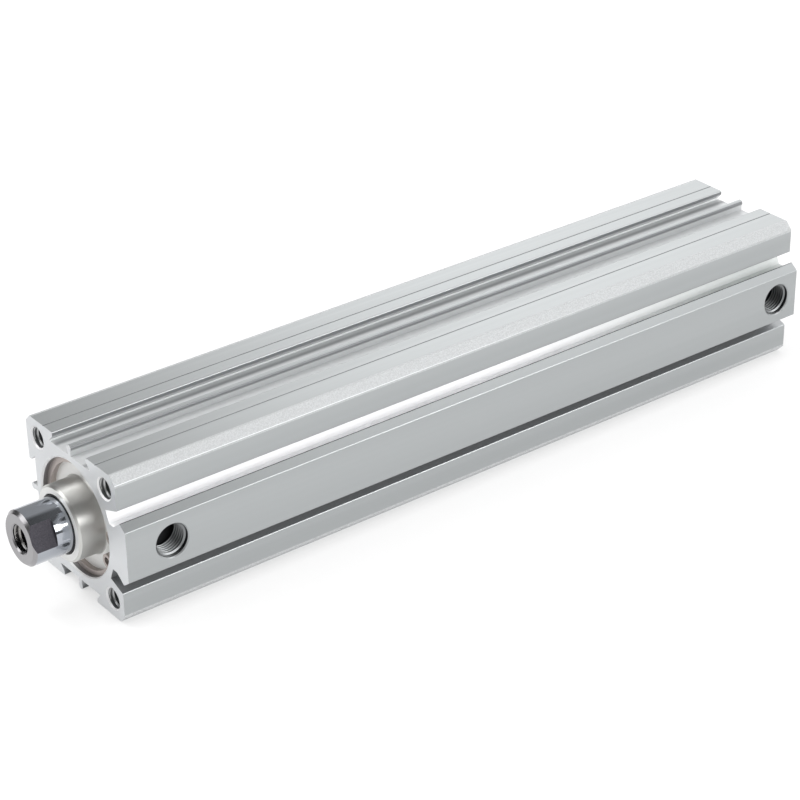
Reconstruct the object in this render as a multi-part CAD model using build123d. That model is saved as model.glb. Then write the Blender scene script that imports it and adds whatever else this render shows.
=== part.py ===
from build123d import *
import math
import os

# Compact pneumatic cylinder, double acting, female rod thread.
# The bore axis is X. The origin is the centre of the tube's rod-end face.
# +X points out along the rod, +Y is the port side and +Z is up.
# Depths are measured inwards from the nearer end face of the tube.

# Bore, stroke and running gaps
bore_diameter = 32.0
stroke = 200.0
stop_gap = 0.25
seat_gap = 0.02
running_gap = 0.04
cut_overlap = 1.0

# Tube section
section_side = 45.0
corner_chamfer = 2.2
edge_break = 0.3
channel_depth = 3.2
channel_mouth = 17.0
channel_floor = 20.6
channel_lip = 1.2
lip_round = 0.4
rib_neck = 1.5
rib_head = 2.0
scribe_offset = 13.2
scribe_width = 0.5
scribe_depth = 0.25

# Raised pad that carries the ports, and the slot on each side of it
pad_height = 3.5
pad_width = 19.0
pad_face = 15.3
pad_shoulder = 1.0
slot_mouth = 3.2
slot_depth = 5.7
slot_floor_low = 7.0
slot_floor_high = 10.6
slot_shelf = 1.5
slot_ledge = 2.0
pad_round = 0.4

# Bore mouths that take the covers and their retaining rings
mouth_diameter = 34.0
mouth_chamfer = 0.4
ring_inset = 1.75
ring_groove_diameter = 36.0
ring_groove_width = 1.6

# Corner passages along the whole tube, tapped at both ends
corner_pitch = 34.0
corner_passage = 5.0
corner_thread = 6.0
corner_thread_depth = 13.0
corner_countersink = 6.9
drill_point_angle = 118.0

# Ports, in the face of the pad
port_thread = 9.73
port_depth = 7.5
port_countersink = 10.5
port_passage = 3.2
rod_port_depth = 14.2
head_port_depth = 8.5

# Retaining rings
ring_thickness = 1.5
ring_radial_gap = 0.05
ring_back_width = 2.8
ring_front_width = 2.2
ring_opening_angle = -17.0
ring_lug_angle = 17.0
ring_lug_reach = 5.2
ring_lug_radius = 2.1
ring_lug_hole = 2.4

# Rod cover
rod_cover_seat = 12.0
boss_diameter = 22.0
boss_height = 5.0
boss_chamfer = 0.6
boss_fillet = 0.7
cover_rim_chamfer = 0.4
bush_wall = 1.0
bush_inset = 0.5
bush_to_seal = 0.8
rod_relief = 0.3
seal_section = 2.0
seal_length = 3.0
seal_lip = 0.6
seal_land = 0.7
seal_heel_lead = 0.15

# O-rings, given as they sit squeezed in their grooves
o_ring_width = 2.0
o_ring_depth = 1.4
o_ring_groove_width = 2.3
o_ring_groove_depth = 1.45

# Head cover
head_cover_seat = 6.85
head_nose_diameter = 28.0
head_nose_depth = 11.0
head_pocket_diameter = 18.0
head_pocket_depth = 2.2
head_o_ring_land = 0.75

# Piston rod
rod_diameter = 16.0
rod_reach = 17.0
rod_end_chamfer = 0.9
rod_flats = 14.0
rod_flat_length = 7.0
rod_flat_angle = 22.0
rod_thread = 8.0
rod_thread_depth = 16.0
rod_countersink = 8.8
spigot_diameter = 8.0
spigot_chamfer = 0.6

# Piston, front half, magnet and rear half, from the front face back
piston_gap = 0.2
front_length = 10.0
magnet_length = 4.0
rear_length = 6.5
piston_chamfer = 0.5
rod_seat_depth = 3.0
seal_groove_front = 4.2
seal_groove_width = 4.4
seal_groove_diameter = 23.6
seal_lip_gap = 0.03
seal_waist = 0.7
magnet_hub_diameter = 21.0
magnet_wall = 4.7
wear_groove_front = 1.2
wear_ring_width = 4.0
wear_ring_wall = 1.5
wear_ring_slit = 1.0
wear_ring_slit_angle = 30.0
gasket_depth = 1.1
gasket_section = 1.9

# Bumpers, washer and nut
bumper_proud = 0.75
bumper_seat = 2.0
front_bumper_inner = 21.6
front_bumper_outer = 28.0
rear_bumper_inner = 20.4
rear_bumper_outer = 26.4
bumper_notches = 4
bumper_notch_width = 2.0
bumper_notch_depth = 0.4
nut_recess_diameter = 16.8
nut_recess_depth = 7.5
washer_diameter = 16.0
washer_thickness = 1.6
washer_clearance = 0.2
nut_flats = 13.0
nut_height = 4.8
nut_thread_chamfer = 0.5
nut_corner_angle = 30.0

# Lengths that follow from the sizes above
piston_body_length = front_length + magnet_length + rear_length
piston_length = piston_body_length + 2 * bumper_proud
body_length = rod_cover_seat + head_nose_depth + stroke + piston_length + 2 * stop_gap

# Stations on X, at rest with the rod in
head_end = -body_length
piston_rear_face = head_end + head_nose_depth + stop_gap + bumper_proud
piston_front_face = piston_rear_face + piston_body_length
magnet_front_face = piston_front_face - front_length
magnet_rear_face = magnet_front_face - magnet_length
rod_shoulder = piston_front_face - rod_seat_depth
nut_recess_floor = piston_rear_face + nut_recess_depth
nut_front_face = nut_recess_floor - washer_thickness
nut_rear_face = nut_front_face - nut_height
spigot_end = nut_rear_face - spigot_chamfer

half_side = section_side / 2
bore_radius = bore_diameter / 2
mouth_radius = mouth_diameter / 2
rod_radius = rod_diameter / 2
boss_radius = boss_diameter / 2
piston_radius = bore_radius - piston_gap
pad_top = half_side + pad_height


def outline(*corners):
    """A flat face with straight sides through the given corners."""
    return make_face(Polyline(*corners, close=True))


def turned(*profile):
    """A solid of revolution about X, from (x, radius) corners."""
    return revolve(outline(*profile), Axis.X)


def tube_ring(x_low, x_high, inner, outer):
    """A plain ring about X."""
    return turned((x_low, inner), (x_high, inner), (x_high, outer), (x_low, outer))


def disc(x_low, x_high, radius):
    """A plain round bar about X."""
    return turned((x_low, 0), (x_high, 0), (x_high, radius), (x_low, radius))


def slab(x_low, x_high, face):
    """A face drawn in (Y, Z), extruded from one station on X to another."""
    return extrude(Plane.YZ.offset(x_low) * face, x_high - x_low)


def quarter_turns(face, turns):
    """Copies of a (Y, Z) face, turned about the bore axis by quarter turns."""
    return [Rot(0, 0, 90 * turn) * face for turn in turns]


def corner_places():
    """The four corner hole centres in (Y, Z)."""
    return GridLocations(corner_pitch, corner_pitch, 2, 2)


def channel_opening():
    """The undercut sensor channel in the top face, with the material of its rib left out."""
    floor = half_side - channel_depth
    lip = half_side - channel_lip
    cut = outline(
        (-channel_floor / 2, floor),
        (channel_floor / 2, floor),
        (channel_mouth / 2, lip),
        (channel_mouth / 2, half_side),
        (-channel_mouth / 2, half_side),
        (-channel_mouth / 2, lip),
    )
    rib_centre = half_side - rib_head / 2
    neck = Pos(0, (floor + rib_centre) / 2) * Rectangle(rib_neck, rib_centre - floor)
    head = Pos(0, rib_centre) * Circle(rib_head / 2)
    return cut - neck - head


def scribe_lines():
    """The two fine lines that run along the top face, beside the channel."""
    line = outline(
        (-scribe_width / 2, half_side),
        (scribe_width / 2, half_side),
        (0, half_side - scribe_depth),
    )
    return [Pos(side * scribe_offset, 0) * line for side in (-1, 1)]


def pad_outline():
    """The raised pad on the port side, with its sloping shoulders."""
    half = pad_width / 2
    return outline(
        (half_side - slot_depth, -half),
        (half_side + pad_shoulder, -half),
        (pad_top, -pad_face / 2),
        (pad_top, pad_face / 2),
        (half_side + pad_shoulder, half),
        (half_side - slot_depth, half),
    )


def slot_opening(side):
    """The slanted slot between the pad and a corner, side +1 above and -1 below."""
    lip = pad_width / 2
    floor = half_side - slot_depth
    shelf = floor + slot_shelf
    return outline(
        (floor, side * slot_floor_high),
        (half_side, side * (lip + slot_mouth)),
        (pad_top, side * (lip + slot_mouth)),
        (pad_top, side * lip),
        (half_side + pad_shoulder, side * lip),
        (shelf + slot_ledge, side * slot_floor_low),
        (shelf, side * slot_floor_low),
    )


def rounded(face, radius, corners):
    """The face with the named (Y, Z) corners rounded."""
    near = [
        vertex
        for vertex in face.vertices()
        if any(math.dist((vertex.X, vertex.Y), corner) < radius / 10 for corner in corners)
    ]
    return fillet(near, radius)


def lip_corners():
    """The four corners of the lips of the channel in the top face."""
    half = channel_mouth / 2
    return [(side * half, height) for side in (-1, 1) for height in (half_side, half_side - channel_lip)]


def pad_corners():
    """The lip and the face corners of the pad, and the corner of each post beside it."""
    corners = []
    for side in (-1, 1):
        corners.append((half_side + pad_shoulder, side * pad_width / 2))
        corners.append((pad_top, side * pad_face / 2))
        corners.append((half_side, side * (pad_width / 2 + slot_mouth)))
    return corners


def tube_section():
    """The extruded section of the tube, without its bore."""
    square = chamfer(Rectangle(section_side, section_side).vertices(), corner_chamfer)
    section = square + pad_outline()
    channel = channel_opening()
    for cut in quarter_turns(channel, (0, 1, 2)):
        section -= cut
    for line in scribe_lines():
        for cut in quarter_turns(line, (0, 1, 2)):
            section -= cut
    for side in (-1, 1):
        section -= slot_opening(side)
    lips = [Rot(0, 0, 90 * turn) * Pos(*corner) for turn in (0, 1, 2) for corner in lip_corners()]
    section = rounded(section, lip_round, [(lip.position.X, lip.position.Y) for lip in lips])
    return rounded(section, pad_round, pad_corners())


def end_bore(face_x, inwards, seat_depth):
    """The mouth bore, its entry chamfer and its ring groove, at one end of the tube."""
    seat = face_x + inwards * seat_depth
    groove = face_x + inwards * ring_inset
    groove_end = groove + inwards * ring_groove_width
    mouth = turned(
        (face_x, 0),
        (face_x, mouth_radius + mouth_chamfer),
        (face_x + inwards * mouth_chamfer, mouth_radius),
        (seat, mouth_radius),
        (seat, 0),
    )
    low, high = sorted((groove, groove_end))
    return mouth + tube_ring(low, high, mouth_radius - cut_overlap, ring_groove_diameter / 2)


def corner_hole(face_x, inwards):
    """A countersink and a tapped wall that ends in a cone, down to the corner passage."""
    radius = corner_thread / 2
    sink = corner_countersink / 2
    floor = face_x + inwards * corner_thread_depth
    return turned(
        (face_x, 0),
        (face_x, sink),
        (face_x + inwards * (sink - radius), radius),
        (floor, radius),
        (floor + inwards * radius, 0),
    )


def port(depth_x):
    """A port, from the face of the pad through to the bore."""
    radius = port_thread / 2
    sink = port_countersink / 2
    floor = pad_top - port_depth
    profile = outline(
        (0, pad_top),
        (sink, pad_top),
        (radius, pad_top - (sink - radius)),
        (radius, floor),
        (port_passage / 2, floor),
        (port_passage / 2, bore_radius / 2),
        (0, bore_radius / 2),
    )
    return Pos(depth_x, 0, 0) * revolve(profile, Axis.Y)


def make_cylinder_tube():
    tube = slab(head_end, 0, tube_section())
    for face in (tube.faces().sort_by(Axis.X)[-1], tube.faces().sort_by(Axis.X)[0]):
        tube = chamfer(face.outer_wire().edges(), edge_break)
    tube -= disc(head_end, 0, bore_radius)
    tube -= end_bore(0, -1, rod_cover_seat)
    tube -= end_bore(head_end, 1, head_cover_seat)
    for place in corner_places():
        y, z = place.position.X, place.position.Y
        tube -= Pos(0, y, z) * disc(head_end, 0, corner_passage / 2)
        tube -= Pos(0, y, z) * corner_hole(0, -1)
        tube -= Pos(0, y, z) * corner_hole(head_end, 1)
    tube -= port(-rod_port_depth)
    tube -= port(head_end + head_port_depth)
    return tube


def squeezed_ring(centre_x, width, inner, outer):
    """A rubber ring of round cord, pressed flat where it touches its groove and its wall."""
    depth = outer - inner
    section = chamfer(Rectangle(width, depth).vertices(), min(width, depth) / 3)
    return revolve(Pos(centre_x, (inner + outer) / 2) * section, Axis.X)


def o_ring(centre_x, outer_radius):
    """A squeezed O-ring whose outside presses on a wall of the given radius."""
    outer = outer_radius - seat_gap
    return squeezed_ring(centre_x, o_ring_width, outer - o_ring_depth, outer)


def o_ring_groove(centre_x, outer_radius):
    """The groove for an O-ring in a cover of the given radius."""
    low = centre_x - o_ring_groove_width / 2
    high = centre_x + o_ring_groove_width / 2
    return tube_ring(low, high, outer_radius - o_ring_groove_depth, outer_radius + cut_overlap)


rod_cover_face = -ring_inset - ring_thickness
rod_o_ring_x = (rod_cover_face - rod_cover_seat) / 2
seal_front = boss_height - seal_land
seal_back = seal_front - seal_length
seal_radius = rod_radius + seal_section
bush_front = seal_back - bush_to_seal
bush_back = -rod_cover_seat + bush_inset
bush_radius = rod_radius + running_gap + bush_wall


def make_rod_cover():
    outer = mouth_radius - seat_gap
    body = turned(
        (-rod_cover_seat, 0),
        (-rod_cover_seat, outer),
        (rod_cover_face - cover_rim_chamfer, outer),
        (rod_cover_face, outer - cover_rim_chamfer),
        (rod_cover_face, boss_radius),
        (boss_height - boss_chamfer, boss_radius),
        (boss_height, boss_radius - boss_chamfer),
        (boss_height, 0),
    )
    root = [
        edge
        for edge in body.edges().filter_by(GeomType.CIRCLE)
        if math.isclose(edge.radius, boss_radius) and edge.center().X < boss_height / 2
    ]
    body = fillet(root, boss_fillet)
    body -= disc(-rod_cover_seat, boss_height, rod_radius + rod_relief)
    body -= disc(-rod_cover_seat, bush_front, bush_radius + seat_gap)
    body -= disc(seal_back, seal_front, seal_radius + seat_gap)
    body -= disc(seal_front, boss_height, rod_radius + seal_lip)
    return body - o_ring_groove(rod_o_ring_x, outer)


def make_rod_bush():
    inner = rod_radius + running_gap
    lead = bush_wall / 4
    return turned(
        (bush_back, inner + lead),
        (bush_back, bush_radius),
        (bush_front, bush_radius),
        (bush_front, inner + lead),
        (bush_front - lead, inner),
        (bush_back + lead, inner),
    )


def make_rod_seal():
    """Rod packing: a heel in the groove, a sealing lip inwards and a scraper lip outwards."""
    touch = rod_radius + running_gap
    heel = rod_radius + seal_section / 3
    middle = (seal_back + seal_front) / 2
    lip = seal_lip - seat_gap * 2
    return turned(
        (seal_back, touch + seal_heel_lead),
        (seal_back, seal_radius - seal_section / 2),
        (seal_back + seal_section / 2, seal_radius - seal_section / 3),
        (seal_back + seal_section / 2, seal_radius),
        (seal_front, seal_radius),
        (seal_front, rod_radius + lip),
        (boss_height, rod_radius + lip / 2),
        (boss_height, touch),
        (middle + seal_length / 4, heel),
        (middle, heel),
        (seal_back + seal_section / 4, touch),
    )


def make_rod_cover_o_ring():
    return o_ring(rod_o_ring_x, mouth_radius)


def retaining_ring(x_low):
    """An internal retaining ring: an eccentric open ring with two drilled lugs."""
    outer = ring_groove_diameter / 2 - ring_radial_gap
    shift = (ring_back_width - ring_front_width) / 2
    inner = outer - (ring_back_width + ring_front_width) / 2
    lug_centre = outer - ring_lug_reach + ring_lug_radius
    hole_centre = lug_centre
    gap_half = ring_lug_angle - math.degrees(ring_lug_radius / lug_centre)
    body = Circle(outer) - Pos(shift, 0) * Circle(inner)
    for side in (-1, 1):
        place = Rot(0, 0, side * ring_lug_angle) * Pos(lug_centre, 0)
        web = Pos((outer - lug_centre) / 2, 0) * Rectangle(outer - lug_centre, 2 * ring_lug_radius)
        body += place * (Circle(ring_lug_radius) + web) & Circle(outer)
    reach = 2 * outer
    wedge = outline(
        (0, 0),
        (reach * math.cos(math.radians(gap_half)), -reach * math.sin(math.radians(gap_half))),
        (reach * math.cos(math.radians(gap_half)), reach * math.sin(math.radians(gap_half))),
    )
    body -= wedge
    for side in (-1, 1):
        body -= Rot(0, 0, side * ring_lug_angle) * Pos(hole_centre, 0) * Circle(ring_lug_hole / 2)
    turned_body = Rot(0, 0, ring_opening_angle) * body
    return slab(x_low, x_low + ring_thickness, turned_body)


def make_rod_retaining_ring():
    return retaining_ring(-ring_inset - ring_thickness)


def make_head_retaining_ring():
    return retaining_ring(head_end + ring_inset)


head_cover_face = head_end + ring_inset + ring_thickness
head_o_ring_x = head_cover_face + head_o_ring_land + o_ring_groove_width / 2


def make_head_cover():
    outer = mouth_radius - seat_gap
    seat = head_end + head_cover_seat
    nose = head_end + head_nose_depth
    nose_radius = head_nose_diameter / 2
    body = turned(
        (head_cover_face, 0),
        (head_cover_face, outer - cover_rim_chamfer),
        (head_cover_face + cover_rim_chamfer, outer),
        (seat, outer),
        (seat, nose_radius),
        (nose - cover_rim_chamfer, nose_radius),
        (nose, nose_radius - cover_rim_chamfer),
        (nose, 0),
    )
    pocket = turned(
        (head_cover_face, 0),
        (head_cover_face, head_pocket_diameter / 2),
        (head_cover_face + head_pocket_depth, head_pocket_diameter / 2 - head_pocket_depth),
        (head_cover_face + head_pocket_depth, 0),
    )
    return body - pocket - o_ring_groove(head_o_ring_x, outer)


def make_head_cover_o_ring():
    return o_ring(head_o_ring_x, mouth_radius)


def make_piston_rod():
    """The rod, its wrench flats and thread hole at the front and its spigot at the back."""
    spigot_radius = spigot_diameter / 2
    body = turned(
        (spigot_end, 0),
        (spigot_end, spigot_radius - spigot_chamfer),
        (spigot_end + spigot_chamfer, spigot_radius),
        (rod_shoulder, spigot_radius),
        (rod_shoulder, rod_radius),
        (rod_reach - rod_end_chamfer, rod_radius),
        (rod_reach, rod_radius - rod_end_chamfer),
        (rod_reach, 0),
    )
    depth = rod_radius - rod_flats / 2
    for side in (-1, 1):
        cutter = Pos(side * (rod_flats / 2 + depth), 0) * Rectangle(2 * depth, 2 * rod_diameter)
        body -= slab(rod_reach - rod_flat_length, rod_reach, Rot(0, 0, rod_flat_angle) * cutter)
    radius = rod_thread / 2
    sink = rod_countersink / 2
    floor = rod_reach - rod_thread_depth
    body -= turned(
        (rod_reach, 0),
        (rod_reach, sink),
        (rod_reach - (sink - radius), radius),
        (floor, radius),
        (floor - radius / math.tan(math.radians(drill_point_angle / 2)), 0),
    )
    return body


def bumper_groove(face_x, inwards, inner, outer):
    """The groove for a bumper ring in an end face of the piston."""
    low, high = sorted((face_x, face_x + inwards * bumper_seat))
    return tube_ring(low, high, inner / 2 - seat_gap, outer / 2 + seat_gap)


def bumper(face_x, inwards, inner, outer):
    """A rubber ring that stands proud of the piston's face, notched for air."""
    low, high = sorted((face_x + inwards * bumper_seat, face_x - inwards * bumper_proud))
    ring = tube_ring(low, high, inner / 2, outer / 2)
    top = face_x - inwards * bumper_proud
    notch_low, notch_high = sorted((top, top + inwards * bumper_notch_depth))
    for place in PolarLocations((inner + outer) / 4, bumper_notches):
        ring -= slab(notch_low, notch_high, place * Rectangle(outer - inner, bumper_notch_width))
    return ring


def make_piston_front():
    gasket_radius = spigot_diameter / 2 + seat_gap + gasket_section
    body = turned(
        (magnet_front_face, spigot_diameter / 2 + seat_gap),
        (magnet_front_face, piston_radius),
        (piston_front_face - piston_chamfer, piston_radius),
        (piston_front_face, piston_radius - piston_chamfer),
        (piston_front_face, rod_radius + seat_gap),
        (rod_shoulder, rod_radius + seat_gap),
        (rod_shoulder, gasket_radius),
        (rod_shoulder - gasket_depth, gasket_radius),
        (rod_shoulder - gasket_depth, spigot_diameter / 2 + seat_gap),
    )
    groove_front = piston_front_face - seal_groove_front
    body -= tube_ring(groove_front - seal_groove_width, groove_front, seal_groove_diameter / 2, bore_radius)
    return body - bumper_groove(piston_front_face, -1, front_bumper_inner, front_bumper_outer)


def make_piston_seal():
    """Double-lipped packing: a heel in the groove and a lip on the bore at each edge."""
    front = piston_front_face - seal_groove_front - seat_gap
    back = front - seal_groove_width + 2 * seat_gap
    heel = seal_groove_diameter / 2 + seat_gap
    lip = bore_radius - seal_lip_gap
    shoulder = (heel + lip) / 2
    inset = seal_groove_width / 8
    middle = (front + back) / 2
    return turned(
        (back + inset, heel),
        (back, shoulder),
        (back, lip - seal_waist / 2),
        (back + inset, lip),
        (back + 2 * inset, lip - seal_waist / 3),
        (middle - inset, lip - seal_waist),
        (middle + inset, lip - seal_waist),
        (front - 2 * inset, lip - seal_waist / 3),
        (front - inset, lip),
        (front, lip - seal_waist / 2),
        (front, shoulder),
        (front - inset, heel),
    )


def make_piston_o_ring():
    inner = spigot_diameter / 2 + 2 * seat_gap
    outer = inner + gasket_section - 3 * seat_gap
    return squeezed_ring(rod_shoulder - gasket_depth / 2, gasket_depth - 2 * seat_gap, inner, outer)


def make_magnet_ring():
    hub = magnet_hub_diameter / 2 + seat_gap
    outer = hub + magnet_wall
    lead = magnet_wall / 12
    return turned(
        (magnet_rear_face, hub),
        (magnet_rear_face, outer - lead),
        (magnet_rear_face + lead, outer),
        (magnet_front_face - lead, outer),
        (magnet_front_face, outer - lead),
        (magnet_front_face, hub),
    )


def make_piston_rear():
    hub = magnet_hub_diameter / 2
    bore = spigot_diameter / 2 + seat_gap
    body = turned(
        (nut_recess_floor, bore),
        (magnet_front_face, bore),
        (magnet_front_face, hub),
        (magnet_rear_face, hub),
        (magnet_rear_face, piston_radius),
        (piston_rear_face + piston_chamfer, piston_radius),
        (piston_rear_face, piston_radius - piston_chamfer),
        (piston_rear_face, nut_recess_diameter / 2),
        (nut_recess_floor, nut_recess_diameter / 2),
    )
    front = magnet_rear_face - wear_groove_front
    groove_floor = bore_radius - running_gap - wear_ring_wall - seat_gap
    body -= tube_ring(front - wear_ring_width - 2 * seat_gap, front, groove_floor, bore_radius)
    return body - bumper_groove(piston_rear_face, 1, rear_bumper_inner, rear_bumper_outer)


def make_wear_ring():
    """A guide ring, split by a slanted slit so that it springs into its groove."""
    outer = bore_radius - running_gap
    front = magnet_rear_face - wear_groove_front - seat_gap
    ring = tube_ring(front - wear_ring_width, front, outer - wear_ring_wall, outer)
    slit = Box(2 * wear_ring_width, wear_ring_slit, 4 * wear_ring_wall)
    middle = front - wear_ring_width / 2
    return ring - Pos(middle, 0, outer) * Rot(0, 0, wear_ring_slit_angle) * slit


def make_piston_washer():
    inner = spigot_diameter / 2 + washer_clearance
    return tube_ring(nut_front_face, nut_recess_floor, inner, washer_diameter / 2)


def make_piston_nut():
    """A thin hexagon nut with turned corners."""
    hexagon = RegularPolygon(nut_flats / 2, 6, major_radius=False)
    body = slab(nut_rear_face, nut_front_face, hexagon)
    corner = nut_flats / math.sqrt(3)
    flat = nut_flats / 2
    drop = (corner - flat) * math.tan(math.radians(nut_corner_angle))
    body = body & turned(
        (nut_rear_face, 0),
        (nut_rear_face, flat),
        (nut_rear_face + drop, corner),
        (nut_front_face - drop, corner),
        (nut_front_face, flat),
        (nut_front_face, 0),
    )
    bore = spigot_diameter / 2 + seat_gap
    return body - turned(
        (nut_rear_face, 0),
        (nut_rear_face, bore + nut_thread_chamfer),
        (nut_rear_face + nut_thread_chamfer, bore),
        (nut_front_face - nut_thread_chamfer, bore),
        (nut_front_face, bore + nut_thread_chamfer),
        (nut_front_face, 0),
    )


def make_rod_side_bumper():
    return bumper(piston_front_face, -1, front_bumper_inner, front_bumper_outer)


def make_head_side_bumper():
    return bumper(piston_rear_face, 1, rear_bumper_inner, rear_bumper_outer)


pieces = {
    "cylinder_tube": make_cylinder_tube,
    "rod_cover": make_rod_cover,
    "rod_bush": make_rod_bush,
    "rod_seal": make_rod_seal,
    "rod_cover_o_ring": make_rod_cover_o_ring,
    "rod_retaining_ring": make_rod_retaining_ring,
    "piston_rod": make_piston_rod,
    "piston_front": make_piston_front,
    "piston_rear": make_piston_rear,
    "magnet_ring": make_magnet_ring,
    "piston_seal": make_piston_seal,
    "wear_ring": make_wear_ring,
    "piston_o_ring": make_piston_o_ring,
    "piston_washer": make_piston_washer,
    "piston_nut": make_piston_nut,
    "rod_side_bumper": make_rod_side_bumper,
    "head_side_bumper": make_head_side_bumper,
    "head_cover": make_head_cover,
    "head_cover_o_ring": make_head_cover_o_ring,
    "head_retaining_ring": make_head_retaining_ring,
}

os.makedirs("parts", exist_ok=True)
for name, make in pieces.items():
    export_step(make(), f"parts/{name}.step")
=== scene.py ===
import math

import bmesh
import bpy
from mathutils import Matrix, Vector


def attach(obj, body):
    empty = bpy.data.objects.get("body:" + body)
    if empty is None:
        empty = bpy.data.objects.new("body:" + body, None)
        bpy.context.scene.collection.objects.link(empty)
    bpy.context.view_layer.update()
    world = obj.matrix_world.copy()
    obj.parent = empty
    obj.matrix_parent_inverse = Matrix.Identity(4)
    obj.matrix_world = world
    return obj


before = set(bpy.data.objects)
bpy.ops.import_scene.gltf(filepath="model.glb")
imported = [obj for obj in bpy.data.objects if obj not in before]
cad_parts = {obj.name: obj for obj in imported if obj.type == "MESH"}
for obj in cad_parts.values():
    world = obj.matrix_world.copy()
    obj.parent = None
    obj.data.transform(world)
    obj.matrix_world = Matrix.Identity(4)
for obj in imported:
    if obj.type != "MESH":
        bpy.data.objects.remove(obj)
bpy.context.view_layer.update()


# Cylinder tube.
# An aluminium extrusion, milled at the rod end and sawn at the head end, then etched and clear anodised.
# The die's fine lines spread the light across them. The corners are belted, and the recesses are pale and matt.
# Shade and highlights are also painted into its colour, in the channels, slots, holes and scribe lines, and on the
# edges.

MM = 0.001


def hex_colour(text):
    """An sRGB hex colour as linear RGBA."""
    channels = [int(text[i:i + 2], 16) / 255 for i in (1, 3, 5)]
    linear = [c / 12.92 if c <= 0.04045 else ((c + 0.055) / 1.055) ** 2.4 for c in channels]
    return (*linear, 1.0)


def add(tree, kind, inputs, **settings):
    """Adds a node. Each input, by name or number, is a socket to link from, a hex colour or another value.

    A Mix node takes its two numbers as inputs 2 and 3, and its two colours as inputs 6 and 7.
    """
    node = tree.nodes.new(kind)
    for key, value in settings.items():
        setattr(node, key, value)
    for key, value in inputs.items():
        if isinstance(value, bpy.types.NodeSocket):
            tree.links.new(value, node.inputs[key])
        else:
            node.inputs[key].default_value = hex_colour(value) if isinstance(value, str) else value
    return node


def start_finish(name, colour, **values):
    """A new material with one Principled shader: itself, its nodes, the shader, and a point's place in metres."""
    material = bpy.data.materials.new(name)
    material.use_nodes = True
    tree = material.node_tree
    shader = tree.nodes["Principled BSDF"]
    shader.inputs["Base Color"].default_value = hex_colour(colour)
    for key, value in values.items():
        shader.inputs[key.replace("_", " ")].default_value = value
    where = add(tree, "ShaderNodeTexCoord", {}).outputs["Object"]
    return material, tree, shader, where


def wire(tree, node, **sockets):
    """Links sockets to a node's inputs of the same names."""
    for key, socket in sockets.items():
        tree.links.new(socket, node.inputs[key.replace("_", " ")])


def grain(tree, where, size, detail=2.0, length=None):
    """Noise with grains of a size in metres, drawn out along X where a length is given."""
    scale = Vector((1 / (length or size), 1 / size, 1 / size))
    stretched = add(tree, "ShaderNodeVectorMath", {0: where, 1: scale}, operation="MULTIPLY").outputs[0]
    return add(tree, "ShaderNodeTexNoise", {"Vector": stretched, "Scale": 1.0, "Detail": detail}).outputs["Fac"]


def within(tree, *limits, strength=None):
    """A mask: 1, or its strength, where each value lies between its two limits. None is no limit."""
    mask = strength
    for value, low, high in limits:
        if low is None:
            test, operation = {0: value, 1: high}, "LESS_THAN"
        elif high is None:
            test, operation = {0: value, 1: low}, "GREATER_THAN"
        else:
            test, operation = {0: value, 1: (low + high) / 2, 2: (high - low) / 2}, "COMPARE"
        inside = add(tree, "ShaderNodeMath", test, operation=operation).outputs[0]
        if mask is None:
            mask = inside
        else:
            mask = add(tree, "ShaderNodeMath", {0: mask, 1: inside}, operation="MULTIPLY").outputs[0]
    return mask


def give(material, *names):
    """Puts a finish on CAD nodes, in place of the plain one that they came with."""
    for name in names:
        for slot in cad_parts[name].material_slots:
            slot.material = material


extrusion, tree, shader, where = start_finish(
    "clear_anodised_extrusion", "#A1A3A5", Metallic=1.0, Roughness=0.36, Anisotropic=0.55)
# Die lines, 0.7 mm wide and some 300 mm long, in broader bands of 4 mm.
lines = grain(tree, where, 0.7 * MM, detail=3.0, length=300 * MM)
bands = grain(tree, where, 4 * MM, detail=1.0, length=600 * MM)
# The etch leaves a frost. Its real grain is near 0.05 mm, drawn at 0.35 mm so that it shows.
frost = grain(tree, where, 0.35 * MM, detail=4.0)
# The milled end carries the arcs of a large face cutter, 0.3 mm apart.
cutter = (0.0, -70 * MM, 31 * MM)
from_cutter = add(tree, "ShaderNodeVectorMath", {0: where, 1: cutter}, operation="DISTANCE").outputs["Value"]
arc_sizes = {"W": from_cutter, "Scale": 1 / (0.3 * MM), "Detail": 1.0}
arcs = add(tree, "ShaderNodeTexNoise", arc_sizes, noise_dimensions="1D").outputs["Fac"]

# A point's place in the profile, whose quarters are alike: its distances from the middle, and the way it faces.
tube_length = 245.5 * MM
along, across, up = add(tree, "ShaderNodeSeparateXYZ", {0: where}).outputs
to_middle = {0: where, 1: (tube_length / 2, 0.0, 0.0)}
from_middle = add(tree, "ShaderNodeVectorMath", to_middle, operation="ADD").outputs[0]
folded = add(tree, "ShaderNodeVectorMath", {0: from_middle}, operation="ABSOLUTE").outputs[0]
lengthwise, side_y, side_z = add(tree, "ShaderNodeSeparateXYZ", {0: folded}).outputs
# Outer is the greater of the two sideways distances, inner the lesser, and both their sum.
outer, inner, both = (
    add(tree, "ShaderNodeMath", {0: side_y, 1: side_z}, operation=operation).outputs[0]
    for operation in ("MAXIMUM", "MINIMUM", "ADD"))
off_axis = add(tree, "ShaderNodeCombineXYZ", {1: across, 2: up}).outputs[0]
from_axis = add(tree, "ShaderNodeVectorMath", {0: off_axis}, operation="LENGTH").outputs["Value"]
facing = add(tree, "ShaderNodeTexCoord", {}).outputs["Normal"]
facing_x = add(tree, "ShaderNodeSeparateXYZ", {0: facing}).outputs["X"]
end_on = add(tree, "ShaderNodeMath", {0: facing_x}, operation="ABSOLUTE").outputs[0]
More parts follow.
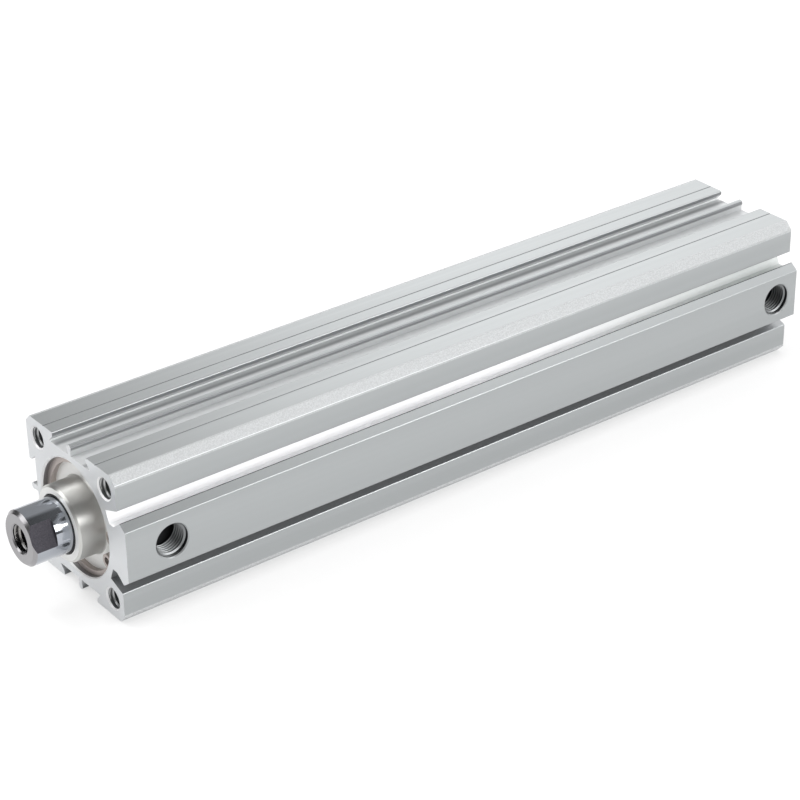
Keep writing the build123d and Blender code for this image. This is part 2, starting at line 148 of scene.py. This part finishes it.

# Tones that change smoothly: out of a band of painted shade beside the lip on each half of a channel's floor,
# to that floor's edge, toward the head end, and toward the rod end.
from_lip_shade = add(tree, "ShaderNodeMath", {0: inner, 1: 7.4 * MM}, operation="SUBTRACT").outputs[0]
from_lip_shade = add(tree, "ShaderNodeMath", {0: from_lip_shade}, operation="ABSOLUTE").outputs[0]
off_lip_shade, floor_edge, headward, rodward = (
    add(tree, "ShaderNodeMapRange", {"Value": value, "From Min": start, "From Max": end},
        interpolation_type="SMOOTHSTEP").outputs[0]
    for value, start, end in (
        (from_lip_shade, 0.0, 1.6 * MM),
        (inner, 9.3 * MM, 9.9 * MM),
        (along, -130 * MM, -245 * MM),
        (along, -210 * MM, -60 * MM),
    ))
# Tones that change evenly: up a channel's wall to its lip, darkening there as painted shade, and over the grit of
# the belted corners.
shaded_near_lip, grit = (
    add(tree, "ShaderNodeMapRange", {"Value": value, "From Min": start, "From Max": end}).outputs[0]
    for value, start, end in ((outer, 20.8 * MM, 21.5 * MM), (frost, 0.38, 0.62)))
drawn_tone = add(tree, "ShaderNodeMix", {0: floor_edge, 6: "#CED0D1", 7: "#FBFCFC"}, data_type="RGBA").outputs[2]
# The floor is painted #999B9D in its band of shade beside the lips.
floor_tone = add(tree, "ShaderNodeMix", {0: off_lip_shade, 6: "#999B9D", 7: drawn_tone}, data_type="RGBA").outputs[2]
wall_shade_tone = add(tree, "ShaderNodeMix", {0: shaded_near_lip, 6: "#CDCFD0", 7: "#7C7E80"}, data_type="RGBA").outputs[2]
belt_tone = add(tree, "ShaderNodeMix", {0: grit, 6: "#B4B6B7", 7: "#C4C6C7"}, data_type="RGBA").outputs[2]
# The painted light of the upper slot: white at the rod end, greyer toward the head end.
lit_slot_tone = add(tree, "ShaderNodeMix", {0: headward, 6: "#FCFCFD", 7: "#DADDDC"}, data_type="RGBA").outputs[2]

# Where the finishes and the painted light and shade lie. Each limit stands some tenths of a millimetre off the
# edge that it follows.
# The pad's upper lip is painted white on its side as lit, up to a dark line of painted shade along the pad's
# edges.
port_side, under_face, recess_half = 15 * MM, 22.2 * MM, 13.4 * MM
near_end = tube_length / 2 - 0.85 * MM
# The scribe grooves on the flanges are painted dark, as the shade in them.
scribe_shade = within(tree, (inner, 12.98 * MM, 13.42 * MM), (across, None, port_side))
corner_band = within(tree, (both, 42.1 * MM, None))
# A painted highlight along the side faces' top edge by the belted corners, strongest toward the rod end.
painted_arris_highlight = within(tree, (side_y, 22.42 * MM, None), (up, 20.15 * MM, None), strength=rodward)
channel = within(tree, (outer, None, under_face), (inner, None, recess_half), (across, None, port_side))
channel_wall = within(tree, (outer, 19.6 * MM, None), strength=channel)
slot = within(tree, (across, port_side, under_face), (side_z, 5.4 * MM, recess_half))
# The upper slot is painted white as lit from above; the lower slot, in shade, keeps a darker metal tone.
lit_upper_slot = within(tree, (up, 0.0, None), strength=slot)
# Painted light on the upper pad lip, and a painted dark line of shade along the pad's edges.
lit_pad_lip = within(tree, (across, 22.15 * MM, 23.15 * MM), (up, 9.15 * MM, 9.65 * MM))
pad_edge_shade = within(tree, (across, 23.15 * MM, 23.65 * MM), (side_z, 9.15 * MM, 9.65 * MM))
mouth = within(tree, (from_axis, None, 18.7 * MM))
# The port and the corner holes are painted darker inside, as the shade within them.
port = within(tree, (across, 0.0, 25.7 * MM), (side_z, None, 5.4 * MM))
corner_hole_shade = within(tree, (inner, 13.6 * MM, None), (outer, None, 20.4 * MM))
# The edge breaks at the ends are painted white as a highlight.
broken_edge_highlight = within(tree, (lengthwise, near_end, None), (end_on, 0.5, None))
milled = within(tree, (lengthwise, near_end, None), (end_on, 0.9, None))
sawn = within(tree, (lengthwise, near_end, None), (facing_x, None, -0.9))

tone = add(tree, "ShaderNodeMix", {0: bands, 6: "#A4A7A8", 7: "#B0B3B4"}, data_type="RGBA").outputs[2]
metal = 1.0
rough = add(tree, "ShaderNodeMapRange", {"Value": lines, "To Min": 0.3, "To Max": 0.42}).outputs[0]
for mask, colour, metallic, roughness in (
    (scribe_shade, "#7C7F80", 0.9, 0.4),
    (corner_band, belt_tone, 0.45, 0.5),
    (painted_arris_highlight, "#E8EAEB", 0.3, 0.4),
    (channel, floor_tone, 0.2, 0.45),
    (channel_wall, wall_shade_tone, 0.35, 0.4),
    (slot, "#A2A4A6", 0.8, 0.4),
    (lit_upper_slot, lit_slot_tone, 0.0, 0.5),
    (lit_pad_lip, "#FCFCFD", 0.0, 0.5),
    (pad_edge_shade, "#5C5E60", 0.9, 0.4),
    (mouth, "#8E8F91", 1.0, 0.35),
    (port, "#4C4D4F", 1.0, 0.4),
    (corner_hole_shade, "#9C9EA1", 0.8, 0.4),
    (broken_edge_highlight, "#FCFCFD", 0.1, 0.4),
    (milled, "#DEE0E2", 0.6, 0.42),
    (sawn, "#A3A5A7", 0.9, 0.42),
):
    tone = add(tree, "ShaderNodeMix", {0: mask, 6: tone, 7: colour}, data_type="RGBA").outputs[2]
    metal = add(tree, "ShaderNodeMix", {0: mask, 2: metal, 3: metallic}).outputs[0]
    rough = add(tree, "ShaderNodeMix", {0: mask, 2: rough, 3: roughness}).outputs[0]
marks = add(tree, "ShaderNodeMix", {0: milled, 2: lines, 3: arcs}).outputs[0]
relief = add(tree, "ShaderNodeBump", {"Height": marks, "Distance": 0.012 * MM, "Strength": 1.0}).outputs[0]
frost_sizes = {"Height": frost, "Distance": 0.006 * MM, "Strength": 1.0, "Normal": relief}
frosted = add(tree, "ShaderNodeBump", frost_sizes).outputs[0]
round_bore = add(tree, "ShaderNodeTangent", {}, direction_type="RADIAL", axis="X").outputs[0]
wire(tree, shader, Base_Color=tone, Metallic=metal, Roughness=rough, Normal=frosted, Tangent=round_bore)
give(extrusion, "cylinder_tube")


# Threads in the tube.
# M6 in the four corner passages at both ends, and a fine pipe thread in each port.
# They are tapped after anodising, so the flanks are bare aluminium, bright where they catch the light.


def helical_ridge(name, mouth, inwards, start, end, pitch, wall, crest):
    """One ridge of an inside thread, from its root in the wall to its crest, fading out at both ends."""
    inwards = Vector(inwards).normalized()
    first = inwards.orthogonal().normalized()
    second = inwards.cross(first)
    steps = 48
    fade_steps = steps / 2
    least_height = 0.02
    count = int((end - start) / pitch * steps)
    root_half, crest_half, buried = pitch * 0.44, pitch * 0.11, 0.04 * MM
    mesh = bmesh.new()
    rows = []
    for i in range(count + 1):
        angle = 2 * math.pi * i / steps
        out = first * math.cos(angle) + second * math.sin(angle)
        centre = Vector(mouth) + inwards * (start + pitch * i / steps)
        height = max(min(1.0, i / fade_steps, (count - i) / fade_steps), least_height)
        root, tip = wall + buried, wall + (crest - wall) * height
        corners = ((-root_half, root), (-crest_half, tip), (crest_half, tip), (root_half, root))
        rows.append([mesh.verts.new(centre + inwards * step + out * radius) for step, radius in corners])
    for low, high in zip(rows, rows[1:]):
        for k in range(4):
            mesh.faces.new((low[k], low[(k + 1) % 4], high[(k + 1) % 4], high[k]))
    mesh.faces.new(rows[0])
    mesh.faces.new(reversed(rows[-1]))
    bmesh.ops.recalc_face_normals(mesh, faces=mesh.faces)
    data = bpy.data.meshes.new(name)
    mesh.to_mesh(data)
    mesh.free()
    piece = bpy.data.objects.new(name, data)
    bpy.context.scene.collection.objects.link(piece)
    return piece


def vary(tree, shader, pattern, tones=None, roughness=None, depth=None):
    """Lets a pattern carry a finish between two tones, over a range of roughness, and in relief of a depth."""
    if tones:
        tone = add(tree, "ShaderNodeMix", {0: pattern, 6: tones[0], 7: tones[1]}, data_type="RGBA").outputs[2]
        wire(tree, shader, Base_Color=tone)
    if roughness:
        span = {"Value": pattern, "To Min": roughness[0], "To Max": roughness[1]}
        wire(tree, shader, Roughness=add(tree, "ShaderNodeMapRange", span).outputs[0])
    if depth:
        relief = add(tree, "ShaderNodeBump", {"Height": pattern, "Distance": depth, "Strength": 1.0}).outputs[0]
        wire(tree, shader, Normal=relief)


tapped, tree, shader, where = start_finish("tapped_aluminium", "#B4B5B5", Metallic=1.0, Roughness=0.3)
# The tap tears the metal a little, in grains of 0.25 mm.
tear = grain(tree, where, 0.25 * MM)
vary(tree, shader, tear, roughness=(0.24, 0.42), depth=0.01 * MM)
# The threads in the ports, the ones near mid height, were cut with a finer pitched tap; they are painted darker as
# the shade inside the ports.
up = add(tree, "ShaderNodeSeparateXYZ", {0: where}).outputs["Z"]
vary(tree, shader, within(tree, (up, -6 * MM, 6 * MM)), tones=("#B4B5B5", "#828485"))

corner = 17.0 * MM
quarters = ((1, 1), (-1, 1), (-1, -1), (1, -1))
for end_name, face_x, inwards in (("rod_end", 0.0, (-1, 0, 0)), ("head_end", -tube_length, (1, 0, 0))):
    for number, (y, z) in enumerate(quarters, 1):
        thread = helical_ridge(
            f"{end_name}_corner_thread_{number}", (face_x, y * corner, z * corner), inwards,
            start=0.9 * MM, end=12.4 * MM, pitch=1.0 * MM, wall=3.0 * MM, crest=2.5 * MM,
        )
        thread.data.materials.append(tapped)
        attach(thread, "barrel")

pad_face = 26.0 * MM
for side, port_x in (("rod_side", -14.2 * MM), ("head_side", -237.0 * MM)):
    thread = helical_ridge(
        f"{side}_port_thread", (port_x, pad_face, 0.0), (0, -1, 0),
        start=0.8 * MM, end=7.0 * MM, pitch=0.907 * MM, wall=4.865 * MM, crest=4.3 * MM,
    )
    thread.data.materials.append(tapped)
    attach(thread, "barrel")


# Rod cover and head cover.
# Bar aluminium turned on a lathe and clear anodised, held in the tube's mouths by retaining rings.
# The tool leaves fine rings round the axis, so highlights run along the boss and fan out on the faces.


def turned_metal(name, colour, roughness, line, depth, streak=0.5):
    """Metal turned or ground about X: rings of a width and depth in metres, and how far its shine is drawn out."""
    material, tree, shader, where = start_finish(
        name, colour, Metallic=1.0, Roughness=roughness, Anisotropic=streak, Anisotropic_Rotation=0.25)
    along, across, up = add(tree, "ShaderNodeSeparateXYZ", {0: where}).outputs
    off_axis = add(tree, "ShaderNodeCombineXYZ", {1: across, 2: up}).outputs[0]
    from_axis = add(tree, "ShaderNodeVectorMath", {0: off_axis}, operation="LENGTH").outputs["Value"]
    ring_place = add(tree, "ShaderNodeCombineXYZ", {0: along, 1: from_axis}).outputs[0]
    vary(tree, shader, grain(tree, ring_place, line), roughness=(roughness * 0.7, roughness * 1.3), depth=depth)
    round_axis = add(tree, "ShaderNodeTangent", {}, direction_type="RADIAL", axis="X").outputs[0]
    wire(tree, shader, Tangent=round_axis)
    return material, tree, shader, where


# The flat faces are a paler, chalkier white than the boss.
boss_tone, face_tone = "#CFCFCC", "#F0F0EE"
turned_aluminium, tree, shader, _ = turned_metal(
    "turned_anodised_aluminium", boss_tone, 0.42, line=0.25 * MM, depth=0.008 * MM, streak=0.8)
facing = add(tree, "ShaderNodeTexCoord", {}).outputs["Normal"]
facing_x = add(tree, "ShaderNodeSeparateXYZ", {0: facing}).outputs["X"]
end_on = add(tree, "ShaderNodeMath", {0: facing_x}, operation="ABSOLUTE").outputs[0]
face_on = within(tree, (end_on, 0.9, None))
vary(tree, shader, face_on, tones=(boss_tone, face_tone))
wire(tree, shader, Metallic=add(tree, "ShaderNodeMix", {0: face_on, 2: 1.0, 3: 0.4}).outputs[0])
give(turned_aluminium, "rod_cover")

# The head cover shows only its turned face, greyer than the rod cover.
head_aluminium, *_ = turned_metal("turned_cover_aluminium", "#969797", 0.4, line=0.25 * MM, depth=0.008 * MM)
give(head_aluminium, "head_cover")


# Rod bush.
# A sleeve of sintered bearing bronze, pressed into the rod cover and reamed.
# Its pores hold oil, so it is darker and duller than cast bronze.

bronze, tree, shader, where = turned_metal(
    "sintered_bearing_bronze", "#9A7B4E", 0.38, line=0.2 * MM, depth=0.006 * MM)
# Pores some 0.3 mm apart, drawn coarser than real ones so that they show.
pores = add(tree, "ShaderNodeTexVoronoi", {"Vector": where, "Scale": 1 / (0.3 * MM)}).outputs["Distance"]
pores = add(tree, "ShaderNodeMapRange", {"Value": pores, "From Max": 0.25}).outputs[0]
vary(tree, shader, pores, tones=("#5A4630", "#9A7B4E"))
give(bronze, "rod_bush")


# Rod seal, piston seal and O-rings.
# Black nitrile rubber, moulded: a packing with a scraper lip at the rod, a double-lipped piston seal, O-rings.
# It is a dull black with a trace of grease, and the mould leaves it almost smooth.

rubber, tree, shader, where = start_finish("moulded_nitrile_rubber", "#161617", Roughness=0.42, IOR=1.52)
skin = grain(tree, where, 0.3 * MM, detail=3.0)
vary(tree, shader, skin, tones=("#101011", "#1F1F20"), roughness=(0.34, 0.55), depth=0.008 * MM)
give(rubber, "rod_seal", "piston_seal", "rod_cover_o_ring", "head_cover_o_ring", "piston_o_ring")


# Retaining rings.
# Spring steel stamped from strip, hardened and phosphated, sprung into a groove in each mouth.
# Phosphate is a fine matt crystal coat, brown with a rosy cast here, over steel.

phosphate, tree, shader, where = start_finish("phosphated_spring_steel", "#A08A84", Metallic=0.8, Roughness=0.45)
# The crystals are a few hundredths of a millimetre, drawn at 0.2 mm so that they show.
crystal = grain(tree, where, 0.2 * MM, detail=3.0)
vary(tree, shader, crystal, tones=("#A49A95", "#CAC1BD"), depth=0.006 * MM)
give(phosphate, "rod_retaining_ring", "head_retaining_ring")


# Piston rod.
# Carbon steel, hard chromed and ground, so it mirrors its surroundings in bands along its length.
# The end face and its thread were turned, and the two flats milled, after chroming: they are bare steel.

chrome_tone, chrome_rough = "#B0B4BB", 0.09
chrome, tree, shader, where = turned_metal(
    "ground_hard_chrome", chrome_tone, chrome_rough, line=0.15 * MM, depth=0.00015 * MM)
facing = add(tree, "ShaderNodeTexCoord", {}).outputs["Normal"]
facing_x = add(tree, "ShaderNodeSeparateXYZ", {0: facing}).outputs["X"]
end_face = within(tree, (facing_x, 0.3, None))
# The wrench flats are 14 mm apart, and turned 22 degrees about the axis.
flat_angle, flat_half = math.radians(22), 7.05 * MM
flat_normal = Vector((0, math.cos(flat_angle), math.sin(flat_angle)))
off_middle, square_on = (
    add(tree, "ShaderNodeVectorMath", {0: value, 1: flat_normal}, operation="DOT_PRODUCT").outputs["Value"]
    for value in (where, facing))
square_on = add(tree, "ShaderNodeMath", {0: square_on}, operation="ABSOLUTE").outputs[0]
flats = within(tree, (off_middle, -flat_half, flat_half), (square_on, 0.985, None))
mill_marks = grain(tree, where, 0.35 * MM, detail=4.0)
mill_tone = add(tree, "ShaderNodeMix", {0: mill_marks, 6: "#2C2B2F", 7: "#56545A"}, data_type="RGBA").outputs[2]
tone = add(tree, "ShaderNodeMix", {0: end_face, 6: chrome_tone, 7: "#A09FA1"}, data_type="RGBA").outputs[2]
tone = add(tree, "ShaderNodeMix", {0: flats, 6: tone, 7: mill_tone}, data_type="RGBA").outputs[2]
rough = add(tree, "ShaderNodeMix", {0: end_face, 2: chrome_rough, 3: 0.3}).outputs[0]
rough = add(tree, "ShaderNodeMix", {0: flats, 2: rough, 3: 0.5}).outputs[0]
wire(tree, shader, Base_Color=tone, Roughness=rough)
give(chrome, "piston_rod")

cut_steel, tree, shader, where = start_finish("tapped_steel", "#9E9C9A", Metallic=1.0, Roughness=0.25)
vary(tree, shader, grain(tree, where, 0.25 * MM), roughness=(0.16, 0.36))
rod_end_x = 17.0 * MM
rod_thread = helical_ridge(
    "rod_end_thread", (rod_end_x, 0.0, 0.0), (-1, 0, 0),
    start=1.1 * MM, end=13.8 * MM, pitch=1.25 * MM, wall=4.0 * MM, crest=3.35 * MM,
)
rod_thread.data.materials.append(cut_steel)
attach(rod_thread, "rod")


# Piston halves.
# Two aluminium discs turned from bar, clamped on the rod's spigot with the magnet between them.
# They stay plain and bright inside the tube, under a film of oil.

bare_aluminium, *_ = turned_metal("turned_bare_aluminium", "#C8C9CA", 0.3, line=0.2 * MM, depth=0.01 * MM)
give(bare_aluminium, "piston_front", "piston_rear")


# Magnet ring.
# Bonded ferrite, moulded, that the sensors in the tube's channels answer to.
# It is nearly black and dull, like fired clay.

ferrite, tree, shader, where = start_finish("bonded_ferrite", "#2C2C2F", Roughness=0.6, IOR=1.6)
powder = grain(tree, where, 0.3 * MM, detail=4.0)
vary(tree, shader, powder, tones=("#222225", "#3A3A3E"), depth=0.01 * MM)
give(ferrite, "magnet_ring")


# Wear ring.
# A strip of filled bearing resin, bent round and laid in its groove with a slanted gap.
# The filler flecks its tan colour.

resin, tree, shader, where = start_finish("filled_bearing_resin", "#8F7650", Roughness=0.5, IOR=1.45)
flecks = add(tree, "ShaderNodeTexVoronoi", {"Vector": where, "Scale": 1 / (0.5 * MM)}).outputs["Distance"]
flecks = add(tree, "ShaderNodeMapRange", {"Value": flecks, "From Max": 0.6}).outputs[0]
vary(tree, shader, flecks, tones=("#6E5838", "#A08760"))
give(resin, "wear_ring")


# Washer and nut.
# Carbon steel with clear zinc plate, tightened on the spigot's thread.
# Zinc is paler and softer in its shine than chrome, with a slight mottle.

zinc, tree, shader, where = start_finish("clear_zinc_plate", "#BDBFBE", Metallic=1.0, Roughness=0.32)
vary(tree, shader, grain(tree, where, 1.5 * MM, detail=3.0), tones=("#AEB2B3", "#CACBC8"))
give(zinc, "piston_washer", "piston_nut")


# Bumpers.
# Cast polyurethane rings pressed into both faces of the piston, to soften the end of the stroke.
# They are dark grey and slightly waxy.

urethane, tree, shader, where = start_finish("cast_polyurethane", "#3B3B3E", Roughness=0.48, IOR=1.5)
vary(tree, shader, grain(tree, where, 1.0 * MM, detail=3.0), tones=("#333336", "#434347"))
give(urethane, "rod_side_bumper", "head_side_bumper")


# Studio floor.
# A seamless white sweep. Cameras and shiny metal see it near white, with the tube's soft shadow on it.

floor_half, floor_z = 4.0, -22.55 * MM
floor_mesh = bpy.data.meshes.new("studio_floor")
floor_corners = [(x * floor_half, y * floor_half, floor_z) for x, y in ((-1, -1), (1, -1), (1, 1), (-1, 1))]
floor_mesh.from_pydata(floor_corners, [], [(0, 1, 2, 3)])
floor = bpy.data.objects.new("studio_floor", floor_mesh)
bpy.context.scene.collection.objects.link(floor)
paper, tree, shader, _ = start_finish("white_paper_sweep", "#E6E6E6", Roughness=0.9)
ray = add(tree, "ShaderNodeLightPath", {}).outputs
seen = ray["Is Camera Ray"]
for other in (ray["Is Glossy Ray"], ray["Is Transmission Ray"]):
    seen = add(tree, "ShaderNodeMath", {0: seen, 1: other}, operation="MAXIMUM").outputs[0]
# Part of what is seen glows, and the rest is lit and takes the shadow. The glow is dimmed within 5 mm of the tube,
# a painted contact shadow.
near = add(tree, "ShaderNodeAmbientOcclusion", {"Distance": 5 * MM}, samples=8).outputs["AO"]
strength = add(tree, "ShaderNodeMapRange", {"Value": near, "To Min": 0.52, "To Max": 0.75}).outputs[0]
glow = add(tree, "ShaderNodeEmission", {"Color": "#FFFFFF", "Strength": strength}).outputs[0]
shade = add(tree, "ShaderNodeBsdfDiffuse", {"Color": "#979797"}).outputs[0]
lit = add(tree, "ShaderNodeAddShader", {0: glow, 1: shade}).outputs[0]
paper_shader = add(tree, "ShaderNodeMixShader", {0: seen, 1: shader.outputs[0], 2: lit}).outputs[0]
wire(tree, tree.nodes["Material Output"], Surface=paper_shader)
floor_mesh.materials.append(paper)


# Studio light.
# A wide soft wall of light behind the head end, dimmer walls left and right of the rod end, and four lamps.

world = bpy.data.worlds.new("studio_room")
bpy.context.scene.world = world
world.use_nodes = True
tree = world.node_tree
direction = add(tree, "ShaderNodeTexCoord", {}).outputs["Generated"]
toward_x, toward_y, _ = add(tree, "ShaderNodeSeparateXYZ", {0: direction}).outputs
# Each wall of light comes up, or dies away, over a span of directions: its start and end, and its light at both.
behind, far_end, left, left_rear, right, right_front = (
    add(tree, "ShaderNodeMapRange",
        {"Value": toward, "From Min": start, "From Max": end, "To Min": low, "To Max": high},
        interpolation_type="SMOOTHSTEP").outputs[0]
    for toward, start, end, low, high in (
        (toward_x, -0.38, -0.55, 0.05, 1.76),
        (toward_x, -0.57, -0.68, 1.0, 0.74),
        (toward_y, 0.0, -0.35, 0.0, 1.0),
        (toward_x, 0.2, -0.25, 0.0, 0.37),
        (toward_y, 0.1, 0.5, 0.0, 1.0),
        (toward_x, 0.2, 0.5, 0.0, 0.6),
    ))
right_wall = add(tree, "ShaderNodeMath", {0: right, 1: right_front}, operation="MULTIPLY").outputs[0]
rear_walls = add(tree, "ShaderNodeMath", {0: left, 1: left_rear, 2: behind}, operation="MULTIPLY_ADD").outputs[0]
room = add(tree, "ShaderNodeMath", {0: rear_walls, 1: far_end, 2: right_wall}, operation="MULTIPLY_ADD").outputs[0]
camera_ray = add(tree, "ShaderNodeLightPath", {}).outputs["Is Camera Ray"]
strength = add(tree, "ShaderNodeMix", {0: camera_ray, 2: room, 3: 1.0}).outputs[0]
background = tree.nodes["Background"]
background.inputs["Color"].default_value = hex_colour("#FFFFFF")
wire(tree, background, Strength=strength)


def softbox(name, toward, distance, width, height, watts):
    """A rectangular lamp that faces the middle of the tube from a direction and distance."""
    middle = Vector((-110 * MM, 0, 0))
    data = bpy.data.lights.new(name, "AREA")
    data.shape = "RECTANGLE"
    data.size, data.size_y, data.energy = width, height, watts
    lamp = bpy.data.objects.new(name, data)
    bpy.context.scene.collection.objects.link(lamp)
    direction = Vector(toward).normalized()
    lamp.location = middle + direction * distance
    lamp.rotation_euler = direction.to_track_quat("Z", "Y").to_euler()


softbox("overhead_softbox", (0.28, -0.1, 0.95), distance=1.6, width=1.1, height=1.1, watts=6.5)
softbox("right_strip", (-0.2, 0.85, 0.36), distance=1.5, width=1.5, height=0.65, watts=14.0)
softbox("front_softbox", (0.78, -0.42, 0.46), distance=1.6, width=0.8, height=0.8, watts=5.5)
softbox("left_softbox", (0.25, -0.48, 0.84), distance=1.6, width=0.4, height=0.4, watts=8.0)


# Camera.
# It stands at the photograph's place, in front of the rod end and above the port side.

back_azimuth, back_elevation, roll = math.radians(52.755), math.radians(29.080), math.radians(0.812)
back = Vector((
    math.cos(back_elevation) * math.cos(back_azimuth),
    math.cos(back_elevation) * math.sin(back_azimuth),
    math.sin(back_elevation),
))
level_right = (-back).cross(Vector((0, 0, 1))).normalized()
level_down = (-back).cross(level_right)
right = level_right * math.cos(roll) + level_down * math.sin(roll)
down = level_down * math.cos(roll) - level_right * math.sin(roll)
frame_width, focal_length = 800, 2469.4  # in pixels
lens = bpy.data.cameras.new("photo_camera")
lens.sensor_width = 36.0
lens.lens = lens.sensor_width * focal_length / frame_width
lens.clip_start, lens.clip_end = 0.01, 50.0
camera = bpy.data.objects.new("photo_camera", lens)
bpy.context.scene.collection.objects.link(camera)
stand = Vector((270.13, 499.34, 346.58)) * MM
turn = Matrix((right, -down, back)).transposed().to_4x4()
camera.matrix_world = Matrix.Translation(stand) @ turn
bpy.context.scene.camera = camera
bpy.context.scene.view_settings.view_transform = "Standard"
